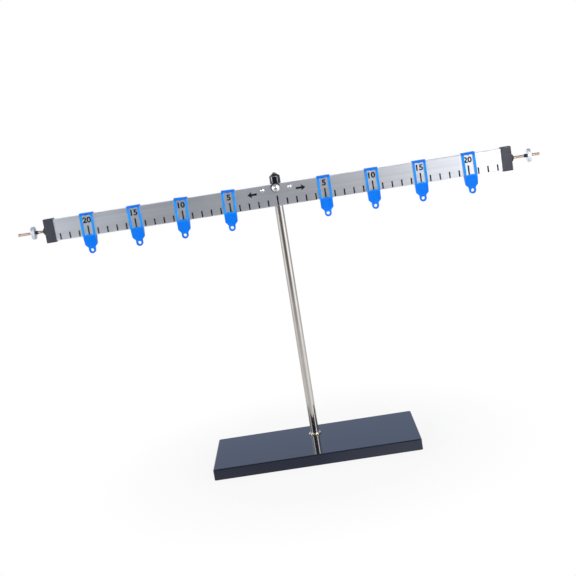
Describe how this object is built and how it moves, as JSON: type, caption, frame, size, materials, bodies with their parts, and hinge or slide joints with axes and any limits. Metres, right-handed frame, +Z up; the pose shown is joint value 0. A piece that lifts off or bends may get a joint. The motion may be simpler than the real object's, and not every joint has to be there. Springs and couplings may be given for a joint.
{
  "type": "lever balance set",
  "caption": "Graduated lever that swings on a rod in a flat base, with sliding hook riders and a balance nut on a threaded stud at each end.",
  "frame": {"origin": "on the floor under the middle of the base", "axes": "+X along the lever, -Y towards the side that the scale faces, +Z up"},
  "size_m": [0.5494, 0.098, 0.301],
  "materials": {
    "tray_paint": "gloss",
    "plain_steel": "satin",
    "foot_rubber": "matte",
    "rod_plating": "polished",
    "vinyl": "gloss",
    "screw_plating": "polished",
    "washer_plastic": "matte",
    "spacer_brass": "satin",
    "beam_metal": "brushed",
    "rivet_metal": "polished",
    "cap_plastic": "satin",
    "stud_metal": "satin",
    "nut_metal": "satin",
    "insert_metal": "dark",
    "rider_plastic": "satin"
  },
  "bodies": {
    "stand": {"base_tray": "tray_paint", "ballast_plate": "plain_steel", "foot_front_left": "foot_rubber", "foot_front_right": "foot_rubber", "foot_rear_left": "foot_rubber", "foot_rear_right": "foot_rubber", "support_rod": "rod_plating", "rod_collar": "rod_plating", "rod_washer": "plain_steel", "rod_nut": "plain_steel", "rod_cap": "vinyl", "pivot_screw": "screw_plating", "front_washer": "washer_plastic", "spacer_washer": "spacer_brass", "pivot_nut": "plain_steel"},
    "lever": {"beam": "beam_metal", "bearing_plate": "plain_steel", "left_rivet": "rivet_metal", "right_rivet": "rivet_metal", "left_end_cap": "cap_plastic", "right_end_cap": "cap_plastic", "left_stud": "stud_metal", "right_stud": "stud_metal"},
    "left_nut": {"left_balance_nut": "nut_metal", "left_nut_insert": "insert_metal"},
    "right_nut": {"right_balance_nut": "nut_metal", "right_nut_insert": "insert_metal"},
    "slider_left_5": {"rider_left_5": "rider_plastic"},
    "slider_right_5": {"rider_right_5": "rider_plastic"},
    "slider_left_10": {"rider_left_10": "rider_plastic"},
    "slider_right_10": {"rider_right_10": "rider_plastic"},
    "slider_left_15": {"rider_left_15": "rider_plastic"},
    "slider_right_15": {"rider_right_15": "rider_plastic"},
    "slider_left_20": {"rider_left_20": "rider_plastic"},
    "slider_right_20": {"rider_right_20": "rider_plastic"}
  },
  "joints": [
    {"name": "lever_swing", "type": "hinge", "parent": "stand", "child": "lever", "pos_m": [0, 0.0093, 0.2858], "axis": [0, 1, 0], "range_deg": [-78, 78]},
    {"name": "left_nut_travel", "type": "slide", "parent": "lever", "child": "left_nut", "axis": [1, 0, 0], "range_m": [-0.0137, 0.0046]},
    {"name": "right_nut_travel", "type": "slide", "parent": "lever", "child": "right_nut", "axis": [1, 0, 0], "range_m": [-0.0101, 0.0082]},
    {"name": "rider_left_5_travel", "type": "slide", "parent": "lever", "child": "slider_left_5", "axis": [1, 0, 0], "range_m": [-0.034, 0.0245]},
    {"name": "rider_right_5_travel", "type": "slide", "parent": "lever", "child": "slider_right_5", "axis": [1, 0, 0], "range_m": [-0.0245, 0.0345]},
    {"name": "rider_left_10_travel", "type": "slide", "parent": "lever", "child": "slider_left_10", "axis": [1, 0, 0], "range_m": [-0.034, 0.0345]},
    {"name": "rider_right_10_travel", "type": "slide", "parent": "lever", "child": "slider_right_10", "axis": [1, 0, 0], "range_m": [-0.0345, 0.0345]},
    {"name": "rider_left_15_travel", "type": "slide", "parent": "lever", "child": "slider_left_15", "axis": [1, 0, 0], "range_m": [-0.0345, 0.0345]},
    {"name": "rider_right_15_travel", "type": "slide", "parent": "lever", "child": "slider_right_15", "axis": [1, 0, 0], "range_m": [-0.0345, 0.0345]},
    {"name": "rider_left_20_travel", "type": "slide", "parent": "lever", "child": "slider_left_20", "axis": [1, 0, 0], "range_m": [-0.0265, 0.0345]},
    {"name": "rider_right_20_travel", "type": "slide", "parent": "lever", "child": "slider_right_20", "axis": [1, 0, 0], "range_m": [-0.0345, 0.0255]}
  ]
}
